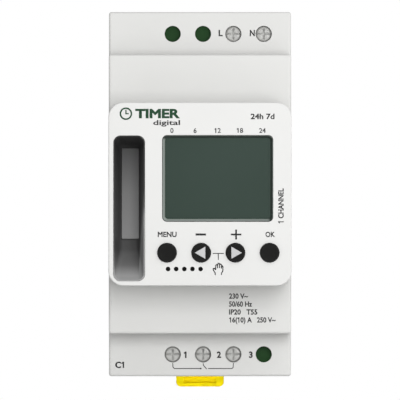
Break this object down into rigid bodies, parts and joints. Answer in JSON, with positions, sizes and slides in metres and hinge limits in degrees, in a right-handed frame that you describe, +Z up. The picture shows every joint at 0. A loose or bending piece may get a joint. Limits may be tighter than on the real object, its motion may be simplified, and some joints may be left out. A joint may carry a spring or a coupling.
{
  "type": "din rail timer",
  "caption": "Digital time switch for a DIN rail: stepped housing, LCD window, push buttons, memory key bay, rising-cage screw terminals, relay and sprung rail clip.",
  "frame": {"origin": "centre of the flat seat that rests on the rail's face", "axes": "+X to the user's right, +Y from the front towards the rail, +Z up along the device's height"},
  "size_m": [0.045, 0.0658, 0.093],
  "materials": {
    "housing": "fine-textured light grey thermoplastic",
    "fascia": "fine-textured off-white thermoplastic",
    "yellow_clip": "smooth bright yellow thermoplastic",
    "button": "satin black",
    "window": "clear moulded pane",
    "lcd": "dark grey-green, polished",
    "white_plastic": "smooth white",
    "black_plastic": "smooth black",
    "bay": "charcoal thermoplastic",
    "bay_pad": "mid grey thermoplastic",
    "elastomer": "layered conductive elastomer",
    "circuit_board": "green solder mask",
    "terminal_plastic": "dark green thermoplastic",
    "zinc_steel": "zinc-plated",
    "plated_copper": "tinned copper alloy",
    "spring_steel": "bright spring steel",
    "soft_iron": "nickel-plated soft iron",
    "component_black": "epoxy moulding",
    "component_blue": "blue moulding",
    "component_sleeve": "shrink sleeve",
    "film_capacitor": "yellow box moulding",
    "varistor_coat": "epoxy dip",
    "winding": "enamelled copper wire",
    "flat_cable": "grey ribbon"
  },
  "bodies": {
    "case": {"rear_base": "housing", "front_cover": "housing", "fascia": "fascia", "display_window": "window", "lcd_panel": "lcd", "lcd_holder": "white_plastic", "zebra_strip": "elastomer", "display_board": "circuit_board", "power_board": "circuit_board", "service_port": "black_plastic", "key_bay_tray": "bay", "key_contact_block": "bay_pad", "menu_switch": "spring_steel", "minus_switch": "spring_steel", "plus_switch": "spring_steel", "ok_switch": "spring_steel", "microcontroller": "component_black", "rectifier": "component_black", "relay_base": "component_black", "quartz_crystal": "spring_steel", "lithium_cell": "spring_steel", "cell_tabs": "zinc_steel", "board_link": "flat_cable", "mains_capacitor": "film_capacitor", "smoothing_capacitor": "component_sleeve", "varistor": "varistor_coat", "relay_cover": "component_blue", "relay_coil": "winding", "relay_yoke": "soft_iron", "relay_make_contact": "plated_copper", "relay_break_contact": "plated_copper", "terminal_block_upper": "terminal_plastic", "terminal_block_lower": "terminal_plastic", "contact_bar_L": "plated_copper", "contact_bar_N": "plated_copper", "contact_bar_1": "plated_copper", "contact_bar_2": "plated_copper", "contact_bar_3": "plated_copper"},
    "clip": {"rail_clip": "yellow_clip", "clip_spring": "spring_steel"},
    "armature": {"relay_armature": "soft_iron", "relay_contact_blade": "plated_copper"},
    "menu_key": {"menu_button": "button", "menu_plunger": "white_plastic"},
    "minus_key": {"minus_button": "button", "minus_plunger": "white_plastic"},
    "plus_key": {"plus_button": "button", "plus_plunger": "white_plastic"},
    "ok_key": {"ok_button": "button", "ok_plunger": "white_plastic"},
    "screw_L": {"terminal_screw_L": "zinc_steel"},
    "cage_L": {"clamp_cage_L": "zinc_steel"},
    "screw_N": {"terminal_screw_N": "zinc_steel"},
    "cage_N": {"clamp_cage_N": "zinc_steel"},
    "screw_1": {"terminal_screw_1": "zinc_steel"},
    "cage_1": {"clamp_cage_1": "zinc_steel"},
    "screw_2": {"terminal_screw_2": "zinc_steel"},
    "cage_2": {"clamp_cage_2": "zinc_steel"},
    "screw_3": {"terminal_screw_3": "zinc_steel"},
    "cage_3": {"clamp_cage_3": "zinc_steel"}
  },
  "joints": [
    {"name": "clip_slide", "type": "slide", "parent": "case", "child": "clip", "axis": [0, 0, -1], "range_m": [0, 0.004], "stiffness_N_per_m": 2000, "springref_m": -0.002, "deforming": ["clip_spring"]},
    {"name": "menu_press", "type": "slide", "parent": "case", "child": "menu_key", "axis": [0, 1, 0], "range_m": [0, 0.0006], "stiffness_N_per_m": 1500, "springref_m": -0.0003},
    {"name": "minus_press", "type": "slide", "parent": "case", "child": "minus_key", "axis": [0, 1, 0], "range_m": [0, 0.0006], "stiffness_N_per_m": 1500, "springref_m": -0.0003},
    {"name": "plus_press", "type": "slide", "parent": "case", "child": "plus_key", "axis": [0, 1, 0], "range_m": [0, 0.0006], "stiffness_N_per_m": 1500, "springref_m": -0.0003},
    {"name": "ok_press", "type": "slide", "parent": "case", "child": "ok_key", "axis": [0, 1, 0], "range_m": [0, 0.0006], "stiffness_N_per_m": 1500, "springref_m": -0.0003},
    {"name": "armature_tilt", "type": "hinge", "parent": "case", "child": "armature", "pos_m": [0.01035, -0.0312, -0.004], "axis": [1, 0, 0], "range_deg": [0, 4.8], "stiffness_Nm_per_rad": 0.01, "springref_deg": -11.46},
    {"name": "screw_L_turn", "type": "hinge", "parent": "case", "child": "screw_L", "pos_m": [0.00825, -0.0344, 0.0396], "axis": [0, 1, 0], "range_deg": [0, 1805]},
    {"name": "cage_L_rise", "type": "slide", "parent": "case", "child": "cage_L", "axis": [0, -1, 0], "range_m": [0, 0.003]},
    {"name": "screw_N_turn", "type": "hinge", "parent": "case", "child": "screw_N", "pos_m": [0.01575, -0.0344, 0.0396], "axis": [0, 1, 0], "range_deg": [0, 1805]},
    {"name": "cage_N_rise", "type": "slide", "parent": "case", "child": "cage_N", "axis": [0, -1, 0], "range_m": [0, 0.003]},
    {"name": "screw_1_turn", "type": "hinge", "parent": "case", "child": "screw_1", "pos_m": [-0.00675, -0.0344, -0.0396], "axis": [0, 1, 0], "range_deg": [0, 1805]},
    {"name": "cage_1_rise", "type": "slide", "parent": "case", "child": "cage_1", "axis": [0, -1, 0], "range_m": [0, 0.003]},
    {"name": "screw_2_turn", "type": "hinge", "parent": "case", "child": "screw_2", "pos_m": [0.00075, -0.0344, -0.0396], "axis": [0, 1, 0], "range_deg": [0, 1805]},
    {"name": "cage_2_rise", "type": "slide", "parent": "case", "child": "cage_2", "axis": [0, -1, 0], "range_m": [0, 0.003]},
    {"name": "screw_3_turn", "type": "hinge", "parent": "case", "child": "screw_3", "pos_m": [0.00825, -0.0344, -0.0396], "axis": [0, 1, 0], "range_deg": [0, 1805]},
    {"name": "cage_3_rise", "type": "slide", "parent": "case", "child": "cage_3", "axis": [0, -1, 0], "range_m": [0, 0.003]}
  ],
  "couplings": [
    {"joint": "screw_L_turn", "follows": "cage_L_rise", "rad_per_m": 10472},
    {"joint": "screw_N_turn", "follows": "cage_N_rise", "rad_per_m": 10472},
    {"joint": "screw_1_turn", "follows": "cage_1_rise", "rad_per_m": 10472},
    {"joint": "screw_2_turn", "follows": "cage_2_rise", "rad_per_m": 10472},
    {"joint": "screw_3_turn", "follows": "cage_3_rise", "rad_per_m": 10472}
  ]
}
